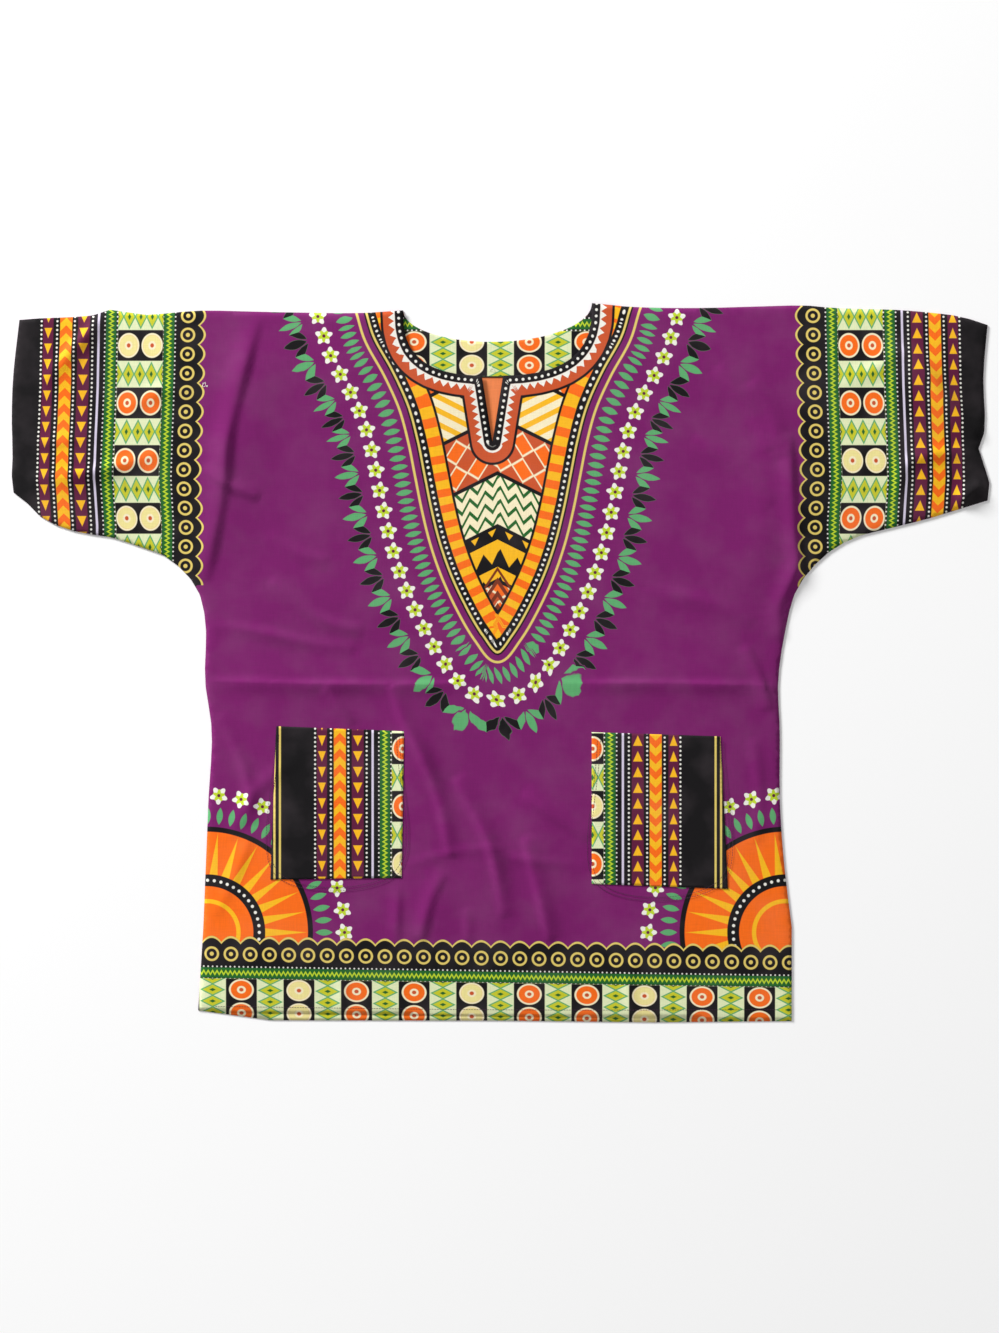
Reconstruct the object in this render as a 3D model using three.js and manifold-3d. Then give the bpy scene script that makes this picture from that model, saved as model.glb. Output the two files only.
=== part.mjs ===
// A dashiki shirt laid flat on a surface: front and back panels in kimono cut, a facing round the
// back neck and two patch pockets. Millimetres, +Z up out of the cloth, +Y towards the shoulders,
// +X towards the viewer's right. The origin is under the middle of the shirt, on the surface.
import * as THREE from "three";
import { mergeVertices } from "three/addons/utils/BufferGeometryUtils.js";
import Module from "manifold-3d";

const wasm = await Module();
wasm.setup();

// Driving dimensions
const CLOTH = 1.0; // wall of every piece
const GAP = 0.3; // clearance between layers and at seams
const GRID = 24; // spacing of the points that carry the folds
const EDGE_STEP = 22; // spacing of points along a curved cut edge
const NECK_CENTRE_X = -3.5;
const NECK_HALF_WIDTH = 111;
// Scoops below the shoulder line; drop lowers both ends, roundness 2 is an ellipse
const FRONT_NECK = { halfWidth: NECK_HALF_WIDTH, depth: 81, roundness: 2.75, drop: 0 };
const BACK_NECK = { halfWidth: NECK_HALF_WIDTH, depth: 41, roundness: 2, drop: 0 };
const FACING_EDGE = { halfWidth: NECK_HALF_WIDTH + 22, depth: 77, roundness: 3, drop: 6 };
const SLIT = { x: -9.5, halfWidth: 12.5, length: 78 };
const PUFF = { height: 2.6, roll: 75 }; // air between the panels, dying out towards the seams
const NECK_LIFT = { height: 1.5, reach: 45, fade: 70 }; // the front rides over the facing here

// Shoulder line on each side, from the neck point out to the start of the sleeve
const LEFT_NECK_POINT = { x: NECK_CENTRE_X - NECK_HALF_WIDTH, y: 413 };
const RIGHT_NECK_POINT = { x: NECK_CENTRE_X + NECK_HALF_WIDTH, y: 421.5 };
const SHOULDER_LEFT = [
  { x: -169, y: 410 },
  { x: -259, y: 411 },
  { x: -348, y: 413 },
];
const SHOULDER_RIGHT = [
  { x: 160, y: 417 },
  { x: 236, y: 416 },
  { x: 347, y: 419 },
];

// Sleeves: height of the top edge and of the underside at stations along each sleeve
const SLEEVE_LEFT = [
  { x: -388, top: 410, under: 121 },
  { x: -419, top: 408, under: 134 },
  { x: -458, top: 414, under: 147 },
  { x: -480, top: 407, under: 150 },
  { x: -512, top: 405, under: 157 },
  { x: -539, top: 404, under: 170 },
];
const SLEEVE_RIGHT = [
  { x: 378, top: 417, under: 123 },
  { x: 415, top: 415, under: 146 },
  { x: 460, top: 414, under: 158 },
  { x: 500, top: 411, under: 168 },
  { x: 540, top: 406, under: 180 },
];
const CUFF_LEFT = [
  { x: -565, y: 402 },
  { x: -572, y: 340 },
  { x: -574, y: 290 },
  { x: -573, y: 245 },
  { x: -573, y: 202 },
  { x: -556, y: 187 },
];
const CUFF_RIGHT = [
  { x: 572, y: 396 },
  { x: 567, y: 335 },
  { x: 569, y: 275 },
  { x: 561, y: 254 },
  { x: 574, y: 212 },
  { x: 572, y: 190 },
];

// Body: where the two side seams lie at heights from the underarm down to the hem
const BODY_SECTIONS = [
  { y: 86, left: -356, right: 348 },
  { y: 40, left: -346, right: 335 },
  { y: -21, left: -347, right: 326 },
  { y: -83, left: -339, right: 328 },
  { y: -162, left: -343, right: 328 },
  { y: -236, left: -346, right: 333 },
  { y: -311, left: -349, right: 342 },
];
const FRONT_HEM = [
  { x: 342, y: -420 },
  { x: 200, y: -417 },
  { x: 0, y: -414 },
  { x: -318, y: -411 },
  { x: -355, y: -408 },
];
const BACK_HEM = [
  { x: 342, y: -421.5 },
  { x: 180, y: -423 },
  { x: 0, y: -421 },
  { x: -270, y: -420.5 },
  { x: -322, y: -413.5 },
  { x: -355, y: -409 },
];

// Patch pockets: the four corners of each, from the top left one, clockwise
const POCKET_LEFT = [
  { x: -263, y: -75 },
  { x: -113, y: -81 },
  { x: -116, y: -253 },
  { x: -270, y: -255 },
];
const POCKET_RIGHT = [
  { x: 107, y: -82 },
  { x: 258, y: -87 },
  { x: 267, y: -266 },
  { x: 107, y: -260 },
];

// The largest folds of the front: a soft ridge along each line, dying out at both ends
const FOLDS = [
  { name: "left shoulder drape", x1: -279, y1: 400, x2: -338, y2: 120, width: 60, height: 3.5 },
  { name: "right side drape", x1: 316, y1: 280, x2: 322, y2: 60, width: 55, height: 3.5 },
  { name: "packing fold, left", x1: -330, y1: -24, x2: -80, y2: -25, width: 42, height: 2.2 },
  { name: "packing fold, right", x1: 93, y1: -25, x2: 318, y2: -24, width: 42, height: 2.2 },
  { name: "left chest", x1: -275, y1: 112, x2: -85, y2: 26, width: 50, height: 2.4 },
  { name: "beside left pocket", x1: -126, y1: -33, x2: -59, y2: -230, width: 46, height: 4.0 },
  { name: "lower middle", x1: -49, y1: -150, x2: 9, y2: -330, width: 46, height: 4.2 },
  { name: "lower right of middle", x1: 25, y1: -162, x2: 62, y2: -330, width: 44, height: 3.4 },
  { name: "above the hem, left", x1: -62, y1: -232, x2: -94, y2: -330, width: 42, height: 2.6 },
  { name: "left sleeve, cuff", x1: -540, y1: 330, x2: -450, y2: 400, width: 50, height: 4.0 },
  { name: "left sleeve, low", x1: -560, y1: 222, x2: -420, y2: 232, width: 50, height: 3.0 },
  { name: "right sleeve, cuff", x1: 470, y1: 360, x2: 556, y2: 242, width: 50, height: 4.5 },
  { name: "right sleeve, low", x1: 480, y1: 240, x2: 560, y2: 215, width: 46, height: 3.0 },
];

const vec = (p) => new THREE.Vector2(p.x, p.y);

/** Points about EDGE_STEP apart on a smooth curve through the given ones. */
function smoothEdge(points) {
  const curve = new THREE.SplineCurve(points.map(vec));
  return curve.getSpacedPoints(Math.ceil(curve.getLength() / EDGE_STEP));
}

/** Scoop from the right neck point down and up to the left one, on a rounded-corner ellipse. */
function neckScoop({ halfWidth, depth, roundness, drop }) {
  const steps = 20;
  const power = 2 / roundness;
  const points = [];
  for (let i = 0; i <= steps; i += 1) {
    const angle = (Math.PI * i) / steps;
    const across = Math.cos(angle);
    const shoulder = THREE.MathUtils.lerp(RIGHT_NECK_POINT.y, LEFT_NECK_POINT.y, i / steps);
    const x = NECK_CENTRE_X + Math.sign(across) * Math.abs(across) ** power * halfWidth;
    points.push(new THREE.Vector2(x, shoulder - drop - Math.sin(angle) ** power * depth));
  }
  return points;
}

/** The front neckline with the V slit let into its lowest stretch. */
function frontNeckline() {
  const scoop = neckScoop(FRONT_NECK);
  const rim = Math.min(...scoop.map((p) => p.y));
  const slit = [
    new THREE.Vector2(SLIT.x + SLIT.halfWidth, rim),
    new THREE.Vector2(SLIT.x, rim - SLIT.length),
    new THREE.Vector2(SLIT.x - SLIT.halfWidth, rim),
  ];
  const right = scoop.filter((p) => p.x > SLIT.x + SLIT.halfWidth * 1.3);
  const left = scoop.filter((p) => p.x < SLIT.x - SLIT.halfWidth * 1.3);
  return [...right, ...slit, ...left];
}

/** Outline of a whole panel, clockwise from the right end of its hem. */
function panelOutline(hem, neckline) {
  const rightEdge = smoothEdge([
    ...BODY_SECTIONS.toReversed().map((row) => ({ x: row.right, y: row.y })),
    ...SLEEVE_RIGHT.map((row) => ({ x: row.x, y: row.under })),
    CUFF_RIGHT.at(-1),
  ]);
  const rightTop = smoothEdge([
    CUFF_RIGHT[0],
    ...SLEEVE_RIGHT.toReversed().map((row) => ({ x: row.x, y: row.top })),
    ...SHOULDER_RIGHT.toReversed(),
    RIGHT_NECK_POINT,
  ]);
  const leftTop = smoothEdge([
    LEFT_NECK_POINT,
    ...SHOULDER_LEFT,
    ...SLEEVE_LEFT.map((row) => ({ x: row.x, y: row.top })),
    CUFF_LEFT[0],
  ]);
  const leftEdge = smoothEdge([
    CUFF_LEFT.at(-1),
    ...SLEEVE_LEFT.toReversed().map((row) => ({ x: row.x, y: row.under })),
    ...BODY_SECTIONS.map((row) => ({ x: row.left, y: row.y })),
  ]);
  return [
    ...rightEdge,
    ...smoothEdge(CUFF_RIGHT.toReversed()).slice(1),
    ...rightTop.slice(1),
    ...neckline.slice(1, -1),
    ...leftTop,
    ...smoothEdge(CUFF_LEFT).slice(1),
    ...leftEdge.slice(1),
    ...hem.toReversed().map(vec),
  ];
}

/** Shortest distance from a point to a closed outline. */
function distanceToOutline(x, y, outline) {
  const point = new THREE.Vector3(x, y, 0);
  const near = new THREE.Vector3();
  const edge = new THREE.Line3();
  let best = Infinity;
  outline.forEach((a, i) => {
    const b = outline[(i + 1) % outline.length];
    edge.set(new THREE.Vector3(a.x, a.y, 0), new THREE.Vector3(b.x, b.y, 0));
    edge.closestPointToPoint(point, true, near);
    best = Math.min(best, point.distanceTo(near));
  });
  return best;
}

/** Height of one fold's soft ridge over a point. */
function foldHeight(x, y, fold) {
  const along = new THREE.Vector2(fold.x2 - fold.x1, fold.y2 - fold.y1);
  const offset = new THREE.Vector2(x - fold.x1, y - fold.y1);
  const t = THREE.MathUtils.clamp(offset.dot(along) / along.lengthSq(), 0, 1);
  const across = offset.sub(along.multiplyScalar(t)).length() / (fold.width / 2);
  return fold.height * Math.sin(Math.PI * t) ** 0.6 * Math.exp(-across * across);
}

/** Height of the front panel's underside: seam level at its edges, air and folds inside. */
function frontUnderside(outline) {
  const neckX = FACING_EDGE.halfWidth;
  const neckY = (LEFT_NECK_POINT.y + RIGHT_NECK_POINT.y) / 2;
  return (x, y) => {
    const inside = distanceToOutline(x, y, outline);
    const open = THREE.MathUtils.smoothstep(inside, 0, PUFF.roll);
    const squash = (y - neckY) * (neckX / FACING_EDGE.depth);
    const beyond = Math.hypot(x - NECK_CENTRE_X, squash) - neckX - NECK_LIFT.reach;
    const lift = 1 - THREE.MathUtils.smoothstep(beyond, 0, NECK_LIFT.fade);
    const folds = FOLDS.reduce((sum, fold) => sum + foldHeight(x, y, fold), 0);
    return CLOTH + GAP + PUFF.height * open + NECK_LIFT.height * lift + folds * open;
  };
}

/** Grid positions, multiples of GRID, that reach past both ends of a range. */
function gridLines(low, high) {
  const first = Math.floor(low / GRID) - 1;
  const last = Math.ceil(high / GRID) + 1;
  return Array.from({ length: last - first + 1 }, (_, i) => (first + i) * GRID);
}

/** Closed slab, CLOTH thick, over a grid that covers the outline; its underside is at(x, y). */
function slab(outline, at) {
  const xs = gridLines(Math.min(...outline.map((p) => p.x)), Math.max(...outline.map((p) => p.x)));
  const ys = gridLines(Math.min(...outline.map((p) => p.y)), Math.max(...outline.map((p) => p.y)));
  const positions = [];
  const index = [];
  const layer = xs.length * ys.length;
  for (const thickness of [0, CLOTH]) {
    for (const y of ys) {
      for (const x of xs) {
        positions.push(x, y, at(x, y) + thickness);
      }
    }
  }
  const id = (i, j, level) => level * layer + j * xs.length + i;
  const quad = (a, b, c, d) => index.push(a, b, c, a, c, d);
  const lastX = xs.length - 1;
  const lastY = ys.length - 1;
  for (let j = 0; j < lastY; j += 1) {
    for (let i = 0; i < lastX; i += 1) {
      quad(id(i, j, 1), id(i + 1, j, 1), id(i + 1, j + 1, 1), id(i, j + 1, 1));
      index.push(id(i, j, 0), id(i + 1, j + 1, 0), id(i + 1, j, 0));
      index.push(id(i, j, 0), id(i, j + 1, 0), id(i + 1, j + 1, 0));
    }
  }
  for (let i = 0; i < lastX; i += 1) {
    quad(id(i, 0, 0), id(i + 1, 0, 0), id(i + 1, 0, 1), id(i, 0, 1));
    quad(id(i + 1, lastY, 0), id(i, lastY, 0), id(i, lastY, 1), id(i + 1, lastY, 1));
  }
  for (let j = 0; j < lastY; j += 1) {
    quad(id(lastX, j, 0), id(lastX, j + 1, 0), id(lastX, j + 1, 1), id(lastX, j, 1));
    quad(id(0, j + 1, 0), id(0, j, 0), id(0, j, 1), id(0, j + 1, 1));
  }
  const geometry = new THREE.BufferGeometry();
  geometry.setAttribute("position", new THREE.Float32BufferAttribute(positions, 3));
  geometry.setIndex(index);
  return geometry;
}

/** Flat-faced body of an outline between two heights. */
function prism(outline, bottom, height) {
  const geometry = new THREE.ExtrudeGeometry(new THREE.Shape(outline), {
    depth: height,
    bevelEnabled: false,
    curveSegments: 1,
  });
  return geometry.translate(0, 0, bottom);
}

function toManifold(geometry) {
  const bare = geometry.clone();
  bare.deleteAttribute("normal");
  bare.deleteAttribute("uv");
  const merged = mergeVertices(bare, 1e-4);
  return new wasm.Manifold(
    new wasm.Mesh({
      numProp: 3,
      vertProperties: new Float32Array(merged.attributes.position.array),
      triVerts: new Uint32Array(merged.index.array),
    }),
  );
}

/** The slab over a grid, cut to a piece's outline. */
function cutPiece(outline, underside) {
  const tall = 100;
  const blank = toManifold(slab(outline, underside));
  const cutter = toManifold(prism(outline, -tall / 2, tall));
  const mesh = blank.intersect(cutter).getMesh();
  const geometry = new THREE.BufferGeometry();
  geometry.setAttribute("position", new THREE.BufferAttribute(mesh.vertProperties, 3));
  geometry.setIndex(new THREE.BufferAttribute(mesh.triVerts, 1));
  geometry.computeVertexNormals();
  return geometry;
}

const shirt = new THREE.Group();

function addPiece(name, geometry, color) {
  const cloth = new THREE.MeshStandardMaterial({ color, roughness: 0.85, metalness: 0 });
  const piece = new THREE.Mesh(geometry, cloth);
  piece.name = name;
  shirt.add(piece);
}

// Back panel, flat on the surface
const backOutline = panelOutline(BACK_HEM, neckScoop(BACK_NECK));
addPiece("back_panel", prism(backOutline, 0, CLOTH), 0x6b1560);

// Facing on the inside of the back neck
const facingOutline = [...neckScoop(FACING_EDGE), ...neckScoop(BACK_NECK).toReversed()];
addPiece("back_neck_facing", prism(facingOutline, CLOTH + GAP, CLOTH), 0xd8cf4a);

// Front panel, lying over both
const frontOutline = panelOutline(FRONT_HEM, frontNeckline());
const underside = frontUnderside(frontOutline);
addPiece("front_panel", cutPiece(frontOutline, underside), 0x761a64);

// Pockets, laid on the front from its own points
const onFront = (x, y) => underside(x, y) + CLOTH + GAP;
addPiece("pocket_left", cutPiece(POCKET_LEFT.map(vec), onFront), 0x161416);
addPiece("pocket_right", cutPiece(POCKET_RIGHT.map(vec), onFront), 0x161416);

export default shirt;
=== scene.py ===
"""The looks of a dashiki shirt laid flat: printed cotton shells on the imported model's forms.

Blender 4.5. Distances in the object are metres; the print is drawn in millimetres, so each
print map (a UV layer) holds millimetres too. The motifs in the neck panel and the
side sunbursts are the builder's own.
"""

import math
import random

import bpy
import numpy as np
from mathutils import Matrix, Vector
from mathutils.bvhtree import BVHTree
from mathutils.geometry import delaunay_2d_cdt
from mathutils.kdtree import KDTree


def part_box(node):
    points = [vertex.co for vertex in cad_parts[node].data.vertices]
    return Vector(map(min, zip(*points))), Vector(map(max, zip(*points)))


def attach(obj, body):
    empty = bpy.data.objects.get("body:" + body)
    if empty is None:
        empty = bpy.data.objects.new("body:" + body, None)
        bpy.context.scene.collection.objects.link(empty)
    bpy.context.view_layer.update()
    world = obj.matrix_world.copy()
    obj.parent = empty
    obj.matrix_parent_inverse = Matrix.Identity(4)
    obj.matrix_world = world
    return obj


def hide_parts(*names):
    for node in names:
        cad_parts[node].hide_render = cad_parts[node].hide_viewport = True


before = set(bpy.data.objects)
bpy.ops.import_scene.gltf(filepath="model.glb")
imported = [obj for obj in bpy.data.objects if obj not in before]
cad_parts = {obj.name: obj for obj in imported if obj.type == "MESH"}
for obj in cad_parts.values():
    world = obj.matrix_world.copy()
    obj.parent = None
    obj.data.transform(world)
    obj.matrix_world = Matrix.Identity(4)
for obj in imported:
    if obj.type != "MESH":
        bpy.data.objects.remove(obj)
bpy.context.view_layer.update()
MM = 0.001

# ---------------------------------------------------------------- sizes, in millimetres

CLOTH = 0.6  # thickness of the cotton
FRONT_SPACING = 4.5  # between mesh points
BACK_SPACING = 7.0
SMALL_SPACING = 3.0
EDGE_ROLL = 9.0  # the outer strip of the front that turns down to the seam
SEAM_TOP = 1.35  # height of the front's outside at its seams
LAYER_GAP = 0.25
FRONT_RELIEF = 2.3  # how far the front's creases stand out against their listed heights
RANDOM = random.Random(7)

BOX = {name: [np.array(c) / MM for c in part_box(name)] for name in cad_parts}
HEM = BOX["front_panel"][0][1]
NECK_X = (BOX["back_neck_facing"][0][0] + BOX["back_neck_facing"][1][0]) / 2

# The creases of the front: a rounded ridge along each line of points, steeper on one side.
# near and far are its widths to the left and right of its direction.
FRONT_CREASES = [
    {"line": [(-284, 405), (-318, 272), (-325, 203), (-346, 95)], "height": 2.6, "near": 5, "far": 16},
    {"line": [(-348, 226), (-325, 210), (-284, 192)], "height": 1.7, "near": 9, "far": 4},
    {"line": [(-342, 43), (-294, 39), (-223, 23), (-170, 18)], "height": 1.2, "near": 5, "far": 9},
    {"line": [(-268, 98), (-219, 57), (-187, 43), (-160, 38)], "height": 1.3, "near": 5, "far": 10},
    {"line": [(-272, 152), (-235, 128), (-200, 118)], "height": 0.8, "near": 6, "far": 9},
    {"line": [(-207, -29), (-170, -72)], "height": 1.2, "near": 4, "far": 9},
    {"line": [(-129, -27), (-114, -72), (-92, -115), (-74, -160), (-59, -229)],
     "height": 2.8, "near": 11, "far": 4},
    {"line": [(-54, -136), (-26, -190), (-9, -232), (4, -300)], "height": 2.8, "near": 12, "far": 4},
    {"line": [(26, -155), (60, -180), (104, -208)], "height": 1.3, "near": 12, "far": 6},
    {"line": [(27, -205), (41, -260), (58, -328)], "height": 2.2, "near": 12, "far": 4},
    {"line": [(-66, -246), (-83, -282), (-94, -328)], "height": 1.8, "near": 5, "far": 9},
    {"line": [(-120, -262), (-121, -328)], "height": 1.1, "near": 4, "far": 8},
    {"line": [(-40, -288), (-39, -328)], "height": 1.0, "near": 7, "far": 4},
    {"line": [(-113, -238), (-66, -224), (-5, -217), (17, -229), (104, -238)],
     "height": 0.7, "near": 4, "far": 8},
    {"line": [(339, 268), (345, 152), (348, 112), (327, 62), (333, 28)],
     "height": 2.6, "near": 4, "far": 12},
    {"line": [(286, 20), (304, -15), (318, -56)], "height": 1.8, "near": 4, "far": 10},
    {"line": [(292, 330), (318, 290), (330, 240)], "height": 1.4, "near": 12, "far": 12},
    {"line": [(252, 345), (292, 300), (316, 246)], "height": 1.2, "near": 12, "far": 9},
    {"line": [(226, 262), (276, 232), (318, 184)], "height": 1.0, "near": 10, "far": 12},
    {"line": [(168, 84), (236, 72), (298, 46)], "height": 0.9, "near": 9, "far": 12},
    {"line": [(-236, -112), (-286, -150), (-318, -210)], "height": 1.2, "near": 9, "far": 9},
    {"line": [(-330, -60), (-300, -130), (-292, -190)], "height": 1.3, "near": 8, "far": 5},
    {"line": [(-336, -300), (-308, -240), (-292, -196)], "height": 1.0, "near": 8, "far": 7},
    {"line": [(296, -90), (304, -150), (300, -214)], "height": 1.0, "near": 7, "far": 7},
    {"line": [(-465, 408), (-497, 374), (-513, 356), (-538, 329)], "height": 2.8, "near": 12, "far": 5},
    {"line": [(-556, 214), (-474, 226), (-394, 249)], "height": 2.0, "near": 5, "far": 12},
    {"line": [(-572, 262), (-530, 258), (-470, 268)], "height": 1.2, "near": 10, "far": 8},
    {"line": [(-440, 300), (-396, 318), (-360, 320)], "height": 1.0, "near": 9, "far": 10},
    {"line": [(471, 371), (485, 352), (512, 321), (537, 290), (561, 264)],
     "height": 3.2, "near": 12, "far": 5},
    {"line": [(566, 210), (534, 186)], "height": 3.0, "near": 5, "far": 9},
    {"line": [(569, 236), (530, 246), (480, 236), (462, 190)], "height": 1.8, "near": 9, "far": 6},
    {"line": [(400, 330), (440, 345), (470, 372)], "height": 1.2, "near": 9, "far": 10},
    {"line": [(-190, -420), (-186, -380), (-196, -352)], "height": 0.8, "near": 6, "far": 6},
    {"line": [(156, -420), (150, -376), (158, -344)], "height": 0.9, "near": 6, "far": 6},
]
# Folds from packing: thin ridges, sharp above and falling away slowly below
PACKING_FOLDS = [
    {"line": [(-346, -21), (-240, -24), (-126, -25), (-40, -24)], "height": 1.7, "near": 2.6, "far": 11},
    {"line": [(60, -24), (200, -24), (326, -27)], "height": 1.4, "near": 2.6, "far": 10},
    {"line": [(-4, 404), (-4, 380)], "height": 0.3, "near": 3, "far": 3},
]
# Like creases for the hidden back
BACK_CREASES = [
    {"line": [(-300, 380), (-320, 250), (-330, 120)], "height": 0.8, "near": 9, "far": 14},
    {"line": [(300, 390), (318, 260), (330, 130)], "height": 0.8, "near": 14, "far": 9},
    {"line": [(-330, -22), (-120, -25), (120, -24), (320, -26)], "height": 0.7, "near": 7, "far": 10},
    {"line": [(-160, 260), (-60, 200), (40, 180), (180, 220)], "height": 0.6, "near": 10, "far": 14},
    {"line": [(-120, -60), (-80, -180), (-90, -330)], "height": 0.8, "near": 12, "far": 8},
    {"line": [(60, -90), (40, -210), (70, -340)], "height": 0.8, "near": 9, "far": 12},
    {"line": [(-470, 390), (-520, 330), (-560, 300)], "height": 0.7, "near": 9, "far": 12},
    {"line": [(470, 370), (520, 320), (556, 270)], "height": 0.7, "near": 12, "far": 9},
    {"line": [(220, 40), (270, -10), (310, -60)], "height": 0.6, "near": 9, "far": 9},
    {"line": [(-250, 90), (-200, 40), (-150, 20)], "height": 0.6, "near": 9, "far": 9},
]

# ---------------------------------------------------------------- plan outlines and point sets


def cad_outline(node):
    """The plan outline of a CAD piece, in order, from the edges of its upright side walls."""
    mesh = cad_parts[node].data
    upright = 0.02
    step = {}
    for face in mesh.polygons:
        if abs(face.normal.z) > upright:
            continue
        ring = [mesh.vertices[i].co / MM for i in face.vertices]
        spots = {(round(p.x, 2), round(p.y, 2)) for p in ring}
        if len(spots) != 2:
            continue
        outward = Vector((face.normal.x, face.normal.y))
        a, b = sorted(spots)
        along = Vector((b[0] - a[0], b[1] - a[1]))
        if along.cross(outward) > 0:  # keeps the piece on the left of its outline
            a, b = b, a
        step[a] = b
    start = min(step)
    loop = [start]
    while step[loop[-1]] != start:
        loop.append(step[loop[-1]])
    return np.array(loop)


def turn_angles(points):
    before = points - np.roll(points, 1, axis=0)
    after = np.roll(points, -1, axis=0) - points
    cross = before[:, 0] * after[:, 1] - before[:, 1] * after[:, 0]
    return np.degrees(np.arctan2(cross, (before * after).sum(axis=1)))


def even_outline(points, spacing, corner=33.0):
    """Points about spacing apart along an outline, with its sharp corners kept."""
    points = points[np.abs(turn_angles(points)) > 0.4]
    corners = np.flatnonzero(np.abs(turn_angles(points)) > corner)
    points = np.roll(points, -corners[0], axis=0)
    corners = [*(corners - corners[0]), len(points)]
    points = np.vstack([points, points[:1]])
    stretches = []
    for first, last in zip(corners[:-1], corners[1:]):
        stretches.append(spaced(points[first : last + 1], spacing)[:-1])
    return np.vstack(stretches)


def spaced(dense, spacing):
    """Evenly spaced points along a line of points, both ends kept."""
    run = np.concatenate([[0], np.cumsum(np.linalg.norm(np.diff(dense, axis=0), axis=1))])
    count = max(1, round(run[-1] / spacing))
    at = np.linspace(0, run[-1], count + 1)
    return np.column_stack([np.interp(at, run, dense[:, k]) for k in range(2)])


def smooth_line(knots, spacing):
    """Evenly spaced points on a Catmull-Rom curve through the knots, both ends kept."""
    knots = np.asarray(knots, float)
    padded = np.vstack([2 * knots[0] - knots[1], knots, 2 * knots[-1] - knots[-2]])
    t = np.linspace(0, 1, 12, endpoint=False)[:, None]
    pieces = []
    for a, b, c, d in zip(padded, padded[1:], padded[2:], padded[3:]):
        curve = 2 * b + (c - a) * t + (2 * a - 5 * b + 4 * c - d) * t**2
        pieces.append((curve + (3 * b - a - 3 * c + d) * t**3) / 2)
    return spaced(np.vstack([*pieces, knots[-1:]]), spacing)


def tree_of(points):
    tree = KDTree(len(points))
    for i, p in enumerate(points):
        tree.insert((p[0], p[1], 0), i)
    tree.balance()
    return tree


def distances(points, others):
    tree = tree_of(others)
    return np.array([tree.find((p[0], p[1], 0))[2] for p in points])


def inside(points, outline):
    """Which points lie inside a closed outline."""
    found = np.zeros(len(points), bool)
    x, y = points[:, 0], points[:, 1]
    for (ax, ay), (bx, by) in zip(outline, np.roll(outline, -1, axis=0)):
        if ay == by:
            continue
        crosses = (ay > y) != (by > y)
        found ^= crosses & (x < (bx - ax) * (y - ay) / (by - ay) + ax)
    return found


def lattice(outline, spacing, lines=()):
    """Triangular lattice of points inside an outline, clear of it and of the crease lines."""
    low, high = outline.min(axis=0), outline.max(axis=0)
    rows = []
    for j, y in enumerate(np.arange(low[1], high[1], spacing * math.sqrt(3) / 2)):
        xs = np.arange(low[0] + (j % 2) * spacing / 2, high[0], spacing)
        rows.append(np.column_stack([xs, np.full(len(xs), y)]))
    points = np.vstack(rows)
    points = points[inside(points, outline)]
    points = points[distances(points, outline) > spacing * 0.55]
    if len(lines):
        points = points[distances(points, lines) > spacing * 0.6]
        kept = lines[inside(lines, outline)]
        points = np.vstack([points, kept[distances(kept, outline) > spacing * 0.4]])
    return points


def triangulate(outline, points):
    """Delaunay triangles inside the outline, with the outline's stretches kept as edges."""
    edges = [(i, (i + 1) % len(outline)) for i in range(len(outline))]
    coords = [Vector(p) for p in np.vstack([outline, points])]
    found = delaunay_2d_cdt(coords, edges, [], 1, 1e-4)
    spots = np.array([tuple(p) for p in found[0]])
    return spots, np.array([f for f in found[2]])


# ---------------------------------------------------------------- heights


def crease_height(points, crease):
    """Height that one crease adds at each point."""
    path = smooth_line(crease["line"], 2.0)
    tangents = np.gradient(path, axis=0)
    tangents /= np.linalg.norm(tangents, axis=1)[:, None]
    reach = 3 * max(crease["near"], crease["far"])
    low, high = path.min(axis=0) - reach, path.max(axis=0) + reach
    close = np.flatnonzero(((points > low) & (points < high)).all(axis=1))
    tree = tree_of(path)
    added = np.zeros(len(points))
    last = len(path) - 1
    for i in close:
        _, k, apart = tree.find((points[i][0], points[i][1], 0))
        if apart > reach:
            continue
        offset = points[i] - path[k]
        side = tangents[k][0] * offset[1] - tangents[k][1] * offset[0]
        width = crease["near"] if side > 0 else crease["far"]
        fade = math.sin(math.pi * min(max(k / last, 0.0), 1.0)) ** 0.5
        swell = 0.8 + 0.2 * math.sin(k * 0.11 + path[0][0])
        added[i] = crease["height"] * fade * swell * math.exp(-((apart / width) ** 2))
    return added


def crease_lines(creases, spacing):
    """Rows of points along and beside each crease, for a finer mesh there."""
    rows = []
    for crease in creases:
        path = smooth_line(crease["line"], spacing)
        tangents = np.gradient(path, axis=0)
        normals = np.column_stack([-tangents[:, 1], tangents[:, 0]])
        normals /= np.linalg.norm(normals, axis=1)[:, None]
        for shift in (-spacing, 0, spacing):
            rows.append(path + normals * shift)
    return np.vstack(rows)


def smoothed(values, triangles, rounds):
    """Values averaged with their neighbours over a mesh."""
    pairs = np.vstack([triangles[:, [0, 1]], triangles[:, [1, 2]], triangles[:, [2, 0]]])
    pairs = np.vstack([pairs, pairs[:, ::-1]])
    count = np.bincount(pairs[:, 0], minlength=len(values))
    for _ in range(rounds):
        total = np.bincount(pairs[:, 0], weights=values[pairs[:, 1]], minlength=len(values))
        values = 0.5 * values + 0.5 * total / np.maximum(count, 1)
    return values


def surface_tree(node):
    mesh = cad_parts[node].data
    return BVHTree.FromPolygons([v.co / MM for v in mesh.vertices], [p.vertices for p in mesh.polygons])


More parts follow.
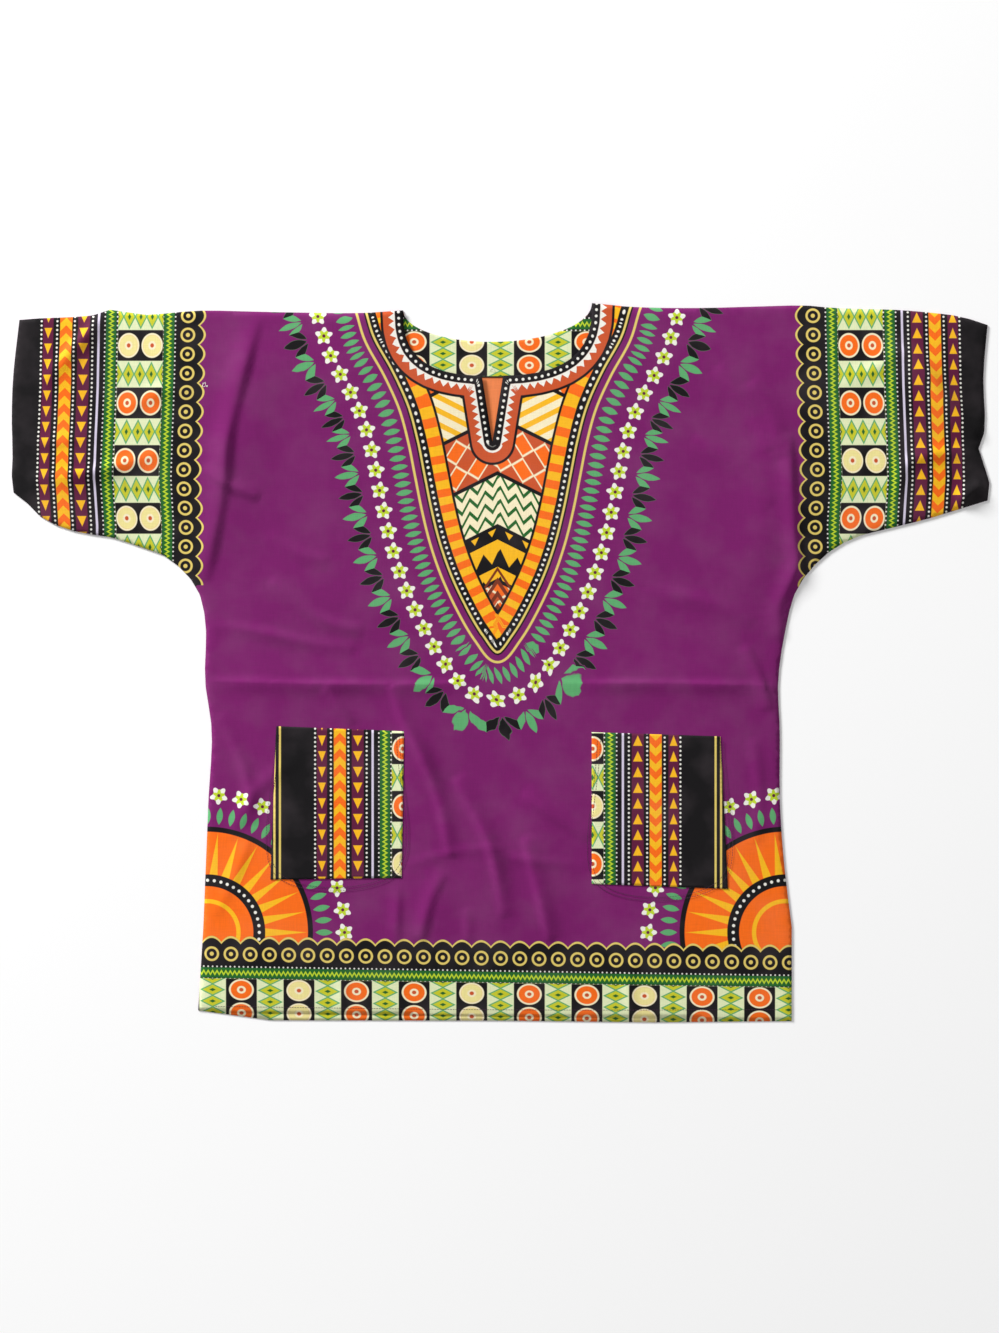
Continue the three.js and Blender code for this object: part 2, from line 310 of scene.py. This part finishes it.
def heights_on(tree, points, fallback):
    """Height of the topmost surface over each point."""
    found = np.full(len(points), fallback, float)
    down = Vector((0, 0, -1))
    for i, p in enumerate(points):
        hit = tree.ray_cast(Vector((p[0], p[1], 500)), down)[0]
        if hit is not None:
            found[i] = hit.z
    return found


# ---------------------------------------------------------------- meshes


def shell(name, spots, triangles, top, bottom, maps, slots, slot_of_top, slot_of_bottom):
    """A closed cloth shell over plan points; maps are UV layers by name, in millimetres."""
    count = len(spots)
    area = np.cross(spots[triangles[:, 1]] - spots[triangles[:, 0]],
                    spots[triangles[:, 2]] - spots[triangles[:, 0]])
    triangles = np.where(area[:, None] < 0, triangles[:, ::-1], triangles)
    directed = {}
    for a, b, c in triangles:
        for edge in ((a, b), (b, c), (c, a)):
            directed[edge] = True
    rim = [edge for edge in directed if (edge[1], edge[0]) not in directed]
    upper = np.column_stack([spots, top])
    lower = np.column_stack([spots, bottom])
    faces = [tuple(t) for t in triangles.tolist()]
    faces += [(c + count, b + count, a + count) for a, b, c in triangles.tolist()]
    faces += [(b, a, a + count, b + count) for a, b in rim]
    mesh = bpy.data.meshes.new(name)
    mesh.from_pydata((np.vstack([upper, lower]) * MM).tolist(), [], faces)
    mesh.polygons.foreach_set("use_smooth", [True] * len(faces))
    rim_slots = np.full(len(rim), slot_of_top[0])
    chosen = np.concatenate([slot_of_top, slot_of_bottom, rim_slots]).astype(np.int32)
    for material in slots:
        mesh.materials.append(material)
    mesh.polygons.foreach_set("material_index", chosen)
    corner = np.zeros(len(mesh.loops), np.int32)
    mesh.loops.foreach_get("vertex_index", corner)
    for title, values in maps.items():
        layer = mesh.uv_layers.new(name=title)
        both = np.vstack([values, values])
        layer.data.foreach_set("uv", both[corner].astype(np.float32).ravel())
    mesh.update()
    piece = bpy.data.objects.new(name, mesh)
    bpy.context.scene.collection.objects.link(piece)
    return piece


# ---------------------------------------------------------------- the print, as sums of nodes


def rgb(red, green, blue):
    return (*[(c / 255) ** 2.2 for c in (red, green, blue)], 1.0)


PURPLE, BLACK, ORANGE = rgb(118, 26, 100), rgb(17, 14, 17), rgb(250, 108, 22)
YELLOW, PALE, WHITE = rgb(250, 185, 30), rgb(225, 200, 105), rgb(240, 238, 228)
DARK_GREEN, LIME, LEAF = rgb(35, 100, 42), rgb(188, 212, 48), rgb(92, 168, 108)
MAROON, CREAM, TERRACOTTA = rgb(95, 25, 60), rgb(248, 236, 196), rgb(200, 84, 44)
WRONG_SIDE, WRONG_ORANGE = rgb(138, 62, 122), rgb(238, 132, 76)
RING, TILE, ARROW = 22.6, 33.8, 18.4  # repeats along the border
DOT_PITCH, BEAD_PITCH, FLOWER_PITCH, LEAF_PITCH = 5.2, 7.4, 24.3, 10.2
ZIGZAG_INNER, ZIGZAG_OUTER = 39, 107  # middles of the green bands
SELVEDGE = 233.5  # middle of the double stripe at the cloth's edge
SCALLOP_DEPTH = 7
SUN_X, SUN_SPREAD, SUN_Y = -5.0, 339.0, -317.0
SHIELD = [(470, 180), (418, 160), (380, 148), (340, 126), (300, 108), (260, 97), (220, 89), (180, 81),
          (140, 71), (100, 57), (60, 38), (30, 20), (8, 0)]  # height and half width of the neck panel


class Value:
    """A number in a material's nodes, so that a print can be written as plain sums."""

    def __init__(self, tree, socket):
        self.tree = tree
        self.socket = socket

    def op(self, kind, *others, clamp=False):
        node = self.tree.nodes.new("ShaderNodeMath")
        node.operation = kind
        node.use_clamp = clamp
        for plug, item in zip(node.inputs, (self, *others)):
            if isinstance(item, Value):
                self.tree.links.new(item.socket, plug)
            else:
                plug.default_value = item
        return Value(self.tree, node.outputs[0])

    def __add__(self, other):
        return self.op("ADD", other)

    def __sub__(self, other):
        return self.op("SUBTRACT", other)

    def __mul__(self, other):
        return self.op("MULTIPLY", other)

    def __abs__(self):
        return self.op("ABSOLUTE")

    def below(self, edge, soft=0.7):
        return self.op("MULTIPLY_ADD", -1 / soft, edge / soft + 0.5, clamp=True)

    def above(self, edge, soft=0.7):
        return self.op("MULTIPLY_ADD", 1 / soft, 0.5 - edge / soft, clamp=True)

    def within(self, low, high):
        return abs(self - (low + high) / 2).below((high - low) / 2)

    def repeat(self, pitch):
        return self.op("WRAP", pitch / 2, -pitch / 2)

    def cell(self, pitch, count):
        """Number of the repeat this is in, counted round and round from 0 to count - 1."""
        return (self * (1 / pitch)).op("ROUND").op("FLOORED_MODULO", count)


def length(a, b):
    return (a * a + b * b).op("SQRT")


def paint(base, colour, mask):
    node = mask.tree.nodes.new("ShaderNodeMix")
    node.data_type = "RGBA"
    mask.tree.links.new(mask.socket, node.inputs["Factor"])
    for plug, item in zip((node.inputs[6], node.inputs[7]), (base, colour)):
        if isinstance(item, tuple):
            plug.default_value = item
        else:
            mask.tree.links.new(item, plug)
    return node.outputs[2]


def coordinates(tree, title):
    layer = tree.nodes.new("ShaderNodeUVMap")
    layer.uv_map = title
    split = tree.nodes.new("ShaderNodeSeparateXYZ")
    tree.links.new(layer.outputs[0], split.inputs[0])
    return Value(tree, split.outputs[0]), Value(tree, split.outputs[1])


def dotted(base, t, s, at, size=1.2, colour=WHITE):
    return paint(base, colour, length(t.repeat(DOT_PITCH), s - at).below(size))


def zigzag(base, t, s, middle):
    base = paint(base, DARK_GREEN, s.within(middle - 6, middle + 6))
    wave = abs(t.repeat(DOT_PITCH)) * 1.7 - 2.2
    base = paint(base, LIME, abs(s - middle - wave).below(1.5))
    base = dotted(base, t, s, middle - 7.2, 0.9)
    return dotted(base, t, s, middle + 7.2, 0.9)


def arrows(base, t, s, middle, half):
    base = paint(base, MAROON, s.within(middle - half - 1.5, middle + half + 1.5))
    run = t.repeat(ARROW)
    head = (run * (half / 12) + half / 2 - abs(s - middle)).above(0) * run.below(6)
    return paint(base, YELLOW, head)


def tiles(base, t, s):
    """Lozenge tiles and blob tiles by turns, with black bars between them."""
    run = t.repeat(TILE)
    area = s.within(46, 99)
    base = paint(base, rgb(226, 234, 186), area)
    lozenge = abs(run) * (1 / 13) + abs((s - 72.5).repeat(13.4)) * (1 / 6.4)
    base = paint(base, LEAF, area * lozenge.below(1.15, 0.1))
    base = paint(base, rgb(200, 200, 44), area * lozenge.below(0.9, 0.1))
    base = paint(base, DARK_GREEN, area * lozenge.below(0.3, 0.1))
    figure = area * t.cell(TILE, 2).above(0.5, 0.1)
    base = paint(base, BLACK, figure)
    blob = length(run * 0.85, (s - 58.7).repeat(27.5))
    base = paint(base, CREAM, figure * blob.below(12.4))
    base = paint(base, ORANGE, figure * blob.below(10.6))
    pale = figure * t.cell(TILE, 6).above(4.5, 0.1)
    base = paint(base, rgb(240, 226, 150), pale * blob.below(10.6))
    base = paint(base, CREAM, figure * blob.below(4.4))
    base = paint(base, TERRACOTTA, figure * blob.below(2.2))
    return paint(base, BLACK, area * abs(run).above(15.6))


def border_print(base, t, s):
    """The cuff, hem and pocket border; s is the distance outward from its scalloped line."""
    ring = t.repeat(RING)
    edge = s - ring * ring * (SCALLOP_DEPTH / (RING / 2) ** 2)
    base = paint(base, BLACK, edge.above(-4))
    base = paint(base, PALE, edge.within(-4, -1.6))
    disc = length(ring, s - 17)
    base = paint(base, PALE, disc.within(6.1, 8.6))
    base = paint(base, PALE, disc.below(2.4))
    base = zigzag(base, t, s, ZIGZAG_INNER)
    base = tiles(base, t, s)
    base = zigzag(base, t, s, ZIGZAG_OUTER)
    base = paint(base, rgb(214, 204, 226), s.within(120.2, 122.8))
    base = dotted(base, t, s, 128.5)
    base = arrows(base, t, s, 139, 5.5)
    base = dotted(base, t, s, 150)
    base = paint(base, YELLOW, s.within(153, 167))
    slant = (t + abs(s - 160)).repeat(ARROW)
    base = paint(base, ORANGE, s.within(153, 167) * slant.above(0))
    base = dotted(base, t, s, 170.5)
    base = arrows(base, t, s, 181, 4.5)
    base = dotted(base, t, s, 189)
    return paint(base, PALE, abs(s - SELVEDGE).within(2.0, 4.4))


def leaf(run, out, half_length, half_width):
    """Mask of a leaf pointing outward; run and out are distances from its middle."""
    bulge = out * out * (half_width / half_length**2) - half_width
    return (abs(run) + bulge).below(0)


def flower(base, run, out):
    """A five-petalled flower with white petals behind it."""
    far = length(run, out)
    wave = (run.op("ARCTAN2", out) * 5).op("COSINE")
    base = paint(base, WHITE, (far + wave * 2.2).below(8.4))
    base = paint(base, LIME, (far - wave * 1.6).below(5.6))
    return paint(base, MAROON, far.below(1.9))


def fan(base, run, out, parity):
    """Three leaves from one foot, green and black by turns."""
    for turn in (-0.62, 0.0, 0.62):
        across = run * math.cos(turn) - (out + 15) * math.sin(turn)
        along = run * math.sin(turn) + (out + 15) * math.cos(turn)
        shape = leaf(across, along - 18, 14, 4.0)
        base = paint(base, LEAF, shape)
        base = paint(base, BLACK, shape * parity)
    return base


def sun_print(base, x, y):
    """A sunburst in each lower corner of the body: slim rays, then leaves and flowers outside."""
    across = abs(x - SUN_X) - SUN_SPREAD
    up = y - SUN_Y
    far = length(across, up)
    angle = up.op("ARCTAN2", across)
    base = flower(base, angle.repeat(math.tau / 38) * far, far - 161)
    base = paint(base, LEAF, leaf(angle.repeat(math.tau / 60) * far, far - 137, 10, 3.6))
    base = paint(base, BLACK, far.below(124))
    base = paint(base, ORANGE, far.below(118))
    ray = abs(angle.repeat(math.tau / 30) * far) + far * 0.1
    base = paint(base, YELLOW, ray.below(11.6))
    base = paint(base, BLACK, far.below(68))
    base = paint(base, WHITE, length(angle.repeat(math.tau / 48) * far, far - 61).below(1.8))
    base = paint(base, ORANGE, far.below(54))
    return paint(base, YELLOW, far.within(34, 39))


def neck_rings(base, run, out):
    base = fan(base, run.repeat(FLOWER_PITCH), out - 84, run.cell(FLOWER_PITCH, 2))
    base = flower(base, run.repeat(FLOWER_PITCH), out - 52)
    base = paint(base, LEAF, leaf(run.repeat(LEAF_PITCH), out - 24, 10, 3.4))
    return paint(base, PALE, abs(out - 8).below(1.4))


def neck_panels(base, x, y):
    """Chevron-shaped panels down the middle of the neck panel, black lines between them."""
    side = abs(x - NECK_X)
    level = y + side * 0.5
    lozenge = abs(x.repeat(26)) * 0.55 + abs(level.repeat(30)) * 0.5
    base = paint(base, TERRACOTTA, level.above(-200))
    base = paint(base, ORANGE, lozenge.below(6.2))
    base = paint(base, CREAM, lozenge.within(6.2, 7.6))
    gold = level.within(96, 160)
    base = paint(base, YELLOW, gold)
    base = paint(base, BLACK, gold * (abs(x.repeat(20)) + level.repeat(32) * 0.6).below(4))
    pale = level.within(160, 222)
    base = paint(base, CREAM, pale)
    wave = (level + abs(x.repeat(18)) * 1.4).repeat(15.5)
    base = paint(base, DARK_GREEN, pale * wave.above(2.6))
    upper = level.within(288, 352)
    base = paint(base, CREAM, upper)
    base = paint(base, YELLOW, upper * (level - side).repeat(16).above(1))
    for line in (96, 160, 222, 288, 352):
        base = paint(base, BLACK, abs(level - line).below(2.4))
    medal = abs(x - NECK_X) * 0.9 + abs(y - 62) * 0.6
    brown = medal.below(30) * (medal.repeat(9)).above(0)
    return paint(base, rgb(120, 50, 24), brown)


def neck_print(base, x, y, run, out, rim_run, rim):
    """The neck panel with its frame, the band round the opening, and rings of leaves outside."""
    base = neck_rings(base, run, out)
    panel = neck_panels(PURPLE, x, y)
    frame_in = out * -1.0
    panel = paint(panel, BLACK, frame_in.below(33))
    panel = paint(panel, YELLOW, frame_in.within(14, 30))
    panel = paint(panel, ORANGE, frame_in.within(14, 30) * run.repeat(20).above(0))
    panel = paint(panel, WHITE, length(run.repeat(BEAD_PITCH), frame_in - 9).below(1.7))
    panel = paint(panel, PALE, frame_in.within(2, 4.5))
    panel = paint(panel, BLACK, rim.below(27))
    teeth = abs(rim_run.repeat(9)) * 1.5 + 11
    panel = paint(panel, TERRACOTTA, rim.within(10, 24))
    panel = paint(panel, WHITE, rim.above(10) * (rim - teeth).below(0))
    panel = paint(panel, WHITE, length(rim_run.repeat(BEAD_PITCH), rim - 5.5).below(1.6))
    return paint(base, panel, out.below(0))


# ---------------------------------------------------------------- cotton


def streaks(tree, x, y, fine, long):
    """Uneven thread thickness along one direction, from 0 to 1."""
    join = tree.nodes.new("ShaderNodeCombineXYZ")
    tree.links.new((x * fine).socket, join.inputs[0])
    tree.links.new((y * long).socket, join.inputs[1])
    noise = tree.nodes.new("ShaderNodeTexNoise")
    noise.inputs["Scale"].default_value = 1.0
    noise.inputs["Detail"].default_value = 3.0
    tree.links.new(join.outputs[0], noise.inputs["Vector"])
    return Value(tree, noise.outputs[0])


def cotton(name, draw):
    """A printed cotton: draw(tree, x, y) gives its colour; slubs, wear and weave go over it."""
    material = bpy.data.materials.new(name)
    material.use_nodes = True
    tree = material.node_tree
    shader = tree.nodes["Principled BSDF"]
    x, y = coordinates(tree, "Plan")
    colour = draw(tree, x, y)
    slub = streaks(tree, x, y, 0.9, 0.05) + streaks(tree, x, y, 0.05, 0.9)
    cloud = streaks(tree, x, y, 0.02, 0.02)
    colour = paint(colour, BLACK, (slub * -0.22 + 0.28).op("MAXIMUM", 0.0))
    colour = paint(colour, rgb(190, 170, 180), (cloud * 0.12 - 0.05).op("MAXIMUM", 0.0))
    tree.links.new(colour, shader.inputs["Base Color"])
    shader.inputs["Roughness"].default_value = 0.86
    shader.inputs["Specular IOR Level"].default_value = 0.2
    shader.inputs["Sheen Weight"].default_value = 0.08
    shader.inputs["Sheen Roughness"].default_value = 0.5
    weave = (x * 9.0).op("SINE") * (y * 9.0).op("SINE")
    bump = tree.nodes.new("ShaderNodeBump")
    bump.inputs["Strength"].default_value = 0.25
    bump.inputs["Distance"].default_value = 0.0002
    tree.links.new((weave * 0.4 + slub).socket, bump.inputs["Height"])
    tree.links.new(bump.outputs[0], shader.inputs["Normal"])
    return material


def plain(colour):
    """A draw function for cloth of one colour."""
    return lambda tree, x, y: paint(colour, colour, x.below(0))


def draw_sleeve(tree, x, y):
    t, s = coordinates(tree, "Sleeve")
    return border_print(PURPLE, t, s)


def draw_hem(tree, x, y):
    base = sun_print(PURPLE, x, y)
    t, s = coordinates(tree, "Hem")
    return border_print(base, t, s)


def draw_neck(tree, x, y):
    run, out = coordinates(tree, "Neck")
    rim_run, rim = coordinates(tree, "Rim")
    return neck_print(PURPLE, x, y, run, out, rim_run, rim)


def draw_facing(tree, x, y):
    """The facing is a strip cut from the tiles of the border."""
    s = y - 290
    return zigzag(tiles(BLACK, x, s), x, s, ZIGZAG_OUTER)


def draw_pocket(tree, x, y):
    t, s = coordinates(tree, "Pocket")
    return border_print(BLACK, t, s)


GROUND = cotton("cotton_ground", plain(PURPLE))
SLEEVE = cotton("cotton_sleeve_border", draw_sleeve)
HEM_AND_SUN = cotton("cotton_hem_border", draw_hem)
NECK = cotton("cotton_neck_panel", draw_neck)
FACING = cotton("cotton_neck_facing", draw_facing)
POCKET = cotton("cotton_pocket_border", draw_pocket)
INSIDE = cotton("cotton_wrong_side", plain(WRONG_SIDE))
INSIDE_NECK = cotton("cotton_wrong_side_neck", plain(WRONG_ORANGE))
SLOTS = [GROUND, SLEEVE, HEM_AND_SUN, NECK, INSIDE, INSIDE_NECK]
ON_GROUND, ON_SLEEVE, ON_HEM, ON_NECK, ON_INSIDE, ON_INSIDE_NECK = range(len(SLOTS))


# ---------------------------------------------------------------- print maps


def run_and_distance(points, path, spacing):
    tree = tree_of(path)
    found = [tree.find((p[0], p[1], 0)) for p in points]
    return np.array([(f[1] * spacing, f[2]) for f in found])


def shield_map(points):
    """Run round the neck panel and distance outside it."""
    left = [(NECK_X - w, y) for y, w in SHIELD]
    right = [(NECK_X + w, y) for y, w in reversed(SHIELD)]
    line = smooth_line([*left, *right[1:]], 0.5)
    tangents = np.gradient(line, axis=0)
    normals = np.column_stack([tangents[:, 1], -tangents[:, 0]])
    normals /= np.linalg.norm(normals, axis=1)[:, None]
    ring = smooth_line((line + normals * 50)[::40], 0.5)
    run = run_and_distance(points, ring, 0.5)[:, 0]
    out = run_and_distance(points, line, 0.5)[:, 1]
    return np.column_stack([run, np.where(inside(points, line), -out, out)])


def print_maps(points, outline):
    x, y = points[:, 0], points[:, 1]
    middle = np.where(x < 0, -1.0, 1.0)
    scallop = np.interp(y, [110, 160, 215, 260, 325, 405], [353, 352, 355, 353.6, 351, 349.6])
    hem_line = -325 - 0.0157 * (x + 347)
    from_hem = np.roll(outline, -int(np.argmin(outline[:, 1])), axis=0)
    rim = from_hem[(np.abs(from_hem[:, 0] - NECK_X) < 112) & (from_hem[:, 1] > 240)]
    return {
        "Plan": points,
        "Sleeve": np.column_stack([-y * middle, np.abs(x) - scallop]),
        "Hem": np.column_stack([x, hem_line - y]),
        "Neck": shield_map(points),
        "Rim": run_and_distance(points, spaced(rim, 0.5), 0.5),
    }


def zones(centres):
    """Which print each face carries, as an index into SLOTS."""
    x, y = centres[:, 0], centres[:, 1]
    neck_reach, neck_foot = 275, -120
    hem_start, sun_top, sun_reach = -300, -130, 150
    sleeve_start, underarm = 341, 90
    zone = np.full(len(centres), ON_GROUND)
    zone[(np.abs(x - NECK_X) < neck_reach) & (y > neck_foot)] = ON_NECK
    zone[(y < hem_start) | ((y < sun_top) & (np.abs(x) > sun_reach))] = ON_HEM
    zone[(np.abs(x) > sleeve_start) & (y > underarm)] = ON_SLEEVE
    return zone


# ---------------------------------------------------------------- the pieces


def build_back():
    outline = even_outline(cad_outline("back_panel"), BACK_SPACING)
    spots, triangles = triangulate(outline, lattice(outline, BACK_SPACING))
    relief = sum(crease_height(spots, crease) for crease in BACK_CREASES)
    relief *= np.clip(distances(spots, outline) / EDGE_ROLL, 0, 1) * 0.5
    centres = spots[triangles].mean(axis=1)
    near_neck = (np.abs(centres[:, 0]) < 170) & (centres[:, 1] > 190)
    hem_turn = -385
    inner = np.where(near_neck, ON_INSIDE_NECK, ON_INSIDE)
    inner = np.where(centres[:, 1] < hem_turn, ON_HEM, inner)  # the hem is turned in, right side up
    piece = shell("back", spots, triangles, CLOTH + relief, relief, print_maps(spots, outline),
                  SLOTS, inner, zones(centres))
    return piece, spots, triangles


def build_front():
    outline = even_outline(cad_outline("front_panel"), FRONT_SPACING)
    lines = crease_lines(PACKING_FOLDS, 2.2)
    spots, triangles = triangulate(outline, lattice(outline, FRONT_SPACING, lines))
    base = heights_on(surface_tree("front_panel"), spots, 2.4)
    base = smoothed(base, triangles, 30)
    relief = sum(crease_height(spots, crease) for crease in [*FRONT_CREASES, *PACKING_FOLDS])
    seams = outline[np.abs(outline[:, 0] - NECK_X) > 140]
    hem = outline[outline[:, 1] < -400]
    apart = distances(spots, np.vstack([seams, hem]))
    roll = np.sin(np.clip(apart / EDGE_ROLL, 0, 1) * math.pi / 2)
    top = SEAM_TOP + (base - SEAM_TOP + relief * FRONT_RELIEF) * roll
    near_neck = (np.abs(spots[:, 0] - NECK_X) < 145) & (spots[:, 1] > 300)
    top = np.where(near_neck, np.maximum(top, 2.5), top)
    centres = spots[triangles].mean(axis=1)
    piece = shell("front", spots, triangles, top, top - CLOTH, print_maps(spots, outline), SLOTS,
                  zones(centres), np.full(len(triangles), ON_INSIDE))
    points = [Vector((*s, z)) for s, z in zip(spots, top)]
    return piece, BVHTree.FromPolygons(points, triangles.tolist()), spots, triangles


def build_facing():
    outline = even_outline(cad_outline("back_neck_facing"), SMALL_SPACING)
    spots, triangles = triangulate(outline, lattice(outline, SMALL_SPACING))
    low = np.full(len(spots), CLOTH + 0.1)
    piece = shell("neck_facing", spots, triangles, low + CLOTH - 0.1, low, {"Plan": spots},
                  [FACING], np.zeros(len(triangles), int), np.zeros(len(triangles), int))
    return piece, spots, triangles


def build_pocket(node, name, side, front_tree):
    outline = even_outline(cad_outline(node), SMALL_SPACING)
    spots, triangles = triangulate(outline, lattice(outline, SMALL_SPACING))
    under = smoothed(heights_on(front_tree, spots, 3.0), triangles, 2) + LAYER_GAP
    s = -28.5 - spots[:, 0] if side < 0 else spots[:, 0] - 22
    maps = {"Plan": spots, "Pocket": np.column_stack([-spots[:, 1] * side, s])}
    piece = shell(name, spots, triangles, under + CLOTH, under, maps, [POCKET, INSIDE],
                  np.zeros(len(triangles), int), np.ones(len(triangles), int))
    return piece, outline, spots, triangles


def thread_material(name, colour):
    material = bpy.data.materials.new(name)
    material.use_nodes = True
    shader = material.node_tree.nodes["Principled BSDF"]
    shader.inputs["Base Color"].default_value = colour
    shader.inputs["Roughness"].default_value = 0.7
    return material


def stitches(name, lines, tree, lift, material):
    """Rows of small raised stitches along plan lines, lying on the cloth below them."""
    stitch, gap, half, high = 2.2, 3.1, 0.28, 0.25
    points, faces = [], []
    for line in lines:
        path = smooth_line(line, gap)
        for a, b in zip(path[:-1], path[1:]):
            along = (b - a) / np.linalg.norm(b - a)
            across = np.array([-along[1], along[0]]) * half
            z = heights_on(tree, [(a + b) / 2], 2.0)[0] + lift
            first = len(points)
            for end in (a, a + along * stitch):
                corners = ((-across, 0.0), (across, 0.0), (across * 0.4, high), (-across * 0.4, high))
                for edge, rise in corners:
                    spot = end + edge
                    points.append((spot[0] * MM, spot[1] * MM, (z + rise) * MM))
            for k in range(4):
                j = (k + 1) % 4
                faces.append((first + k, first + j, first + 4 + j, first + 4 + k))
            faces.append((first + 3, first + 2, first + 1, first))
            faces.append((first + 4, first + 5, first + 6, first + 7))
    mesh = bpy.data.meshes.new(name)
    mesh.from_pydata(points, [], faces)
    mesh.materials.append(material)
    piece = bpy.data.objects.new(name, mesh)
    bpy.context.scene.collection.objects.link(piece)
    return piece


def loose_thread(x, y, reach):
    """A short curled end of thread lying on the cloth."""
    knots = []
    for _ in range(7):
        knots.append((x + RANDOM.uniform(-reach, reach), y + RANDOM.uniform(-reach, reach)))
    return knots


def pocket_seams(outline):
    """Two rows inside the sides and foot of a pocket; its mouth, at the top, is left open."""
    low, high = outline.min(axis=0), outline.max(axis=0)
    rows = []
    for inset in (2.5, 6.0):
        rows.append([(low[0] + inset + 4, high[1] - 10), (low[0] + inset + 3, low[1] + inset + 3),
                     (high[0] - inset - 3, low[1] + inset + 6), (high[0] - inset - 3, high[1] - 10)])
    return rows


def declare(piece, node, spots, triangles):
    size = (spots.max(axis=0) - spots.min(axis=0)) * MM
    a, b, c = (spots[triangles[:, k]] for k in range(3))
    area = float(np.abs(np.cross(b - a, c - a)).sum()) / 2 * MM * MM
    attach(piece, "root")
    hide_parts(node)


def build_shirt():
    back, back_spots, back_faces = build_back()
    front, front_tree, front_spots, front_faces = build_front()
    facing, facing_spots, facing_faces = build_facing()
    declare(back, "back_panel", back_spots, back_faces)
    declare(facing, "back_neck_facing", facing_spots, facing_faces)
    declare(front, "front_panel", front_spots, front_faces)
    rows = []
    for node, side in (("pocket_left", -1), ("pocket_right", 1)):
        pocket, outline, spots, faces = build_pocket(node, node + "_cloth", side, front_tree)
        declare(pocket, node, spots, faces)
        rows += pocket_seams(outline)
    dark = thread_material("sewing_thread", rgb(58, 18, 52))
    thread = stitches("pocket_stitches", rows, front_tree, LAYER_GAP + CLOTH - 0.05, dark)
    hem = [[(-335, HEM + 16), (0, HEM + 12), (325, HEM + 12)]]
    hem_thread = stitches("hem_stitches", hem, front_tree, -0.05, dark)
    lint = [loose_thread(-8.8, 345.8, 5.0), loose_thread(-347, 326, 4.0)]
    lint_piece = stitches("loose_threads", lint, front_tree, 0.0, thread_material("lint", WHITE))
    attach(lint_piece, "root")
    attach(thread, "root")
    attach(hem_thread, "root")


# ---------------------------------------------------------------- floor, light and camera


def area_light(name, place, size, power):
    lamp = bpy.data.lights.new(name, "AREA")
    lamp.size = size
    lamp.energy = power
    holder = bpy.data.objects.new(name, lamp)
    holder.location = place
    holder.rotation_euler = (-Vector(place)).to_track_quat("-Z", "Y").to_euler()
    bpy.context.scene.collection.objects.link(holder)


def build_stage():
    half, level = 6.0, -0.0002
    mesh = bpy.data.meshes.new("floor")
    square = [(-half, -half), (half, -half), (half, half), (-half, half)]
    corners = [(x, y, level) for x, y in square]
    mesh.from_pydata(corners, [], [(0, 1, 2, 3)])
    floor = bpy.data.objects.new("floor", mesh)
    bpy.context.scene.collection.objects.link(floor)
    paper = bpy.data.materials.new("pale_floor")
    paper.use_nodes = True
    shader = paper.node_tree.nodes["Principled BSDF"]
    shader.inputs["Base Color"].default_value = (0.94, 0.94, 0.94, 1)
    shader.inputs["Roughness"].default_value = 0.9
    mesh.materials.append(paper)
    area_light("key", (-6.0, 6.0, 3.0), 2.2, 1350)
    area_light("fill", (0.5, -0.5, 6.0), 4.0, 80)
    world = bpy.data.worlds.new("studio")
    world.use_nodes = True
    world.node_tree.nodes["Background"].inputs[0].default_value = (1, 1, 1, 1)
    world.node_tree.nodes["Background"].inputs[1].default_value = 0.30
    bpy.context.scene.world = world


def build_camera():
    lens, sensor, view_height = 85.0, 36.0, 1.566
    data = bpy.data.cameras.new("camera")
    data.lens = lens
    data.sensor_width = sensor
    holder = bpy.data.objects.new("camera", data)
    holder.location = (-0.0012, -0.005, view_height * lens / sensor)
    bpy.context.scene.collection.objects.link(holder)
    bpy.context.scene.camera = holder
    bpy.context.scene.view_settings.view_transform = "Standard"


build_shirt()
build_stage()
build_camera()
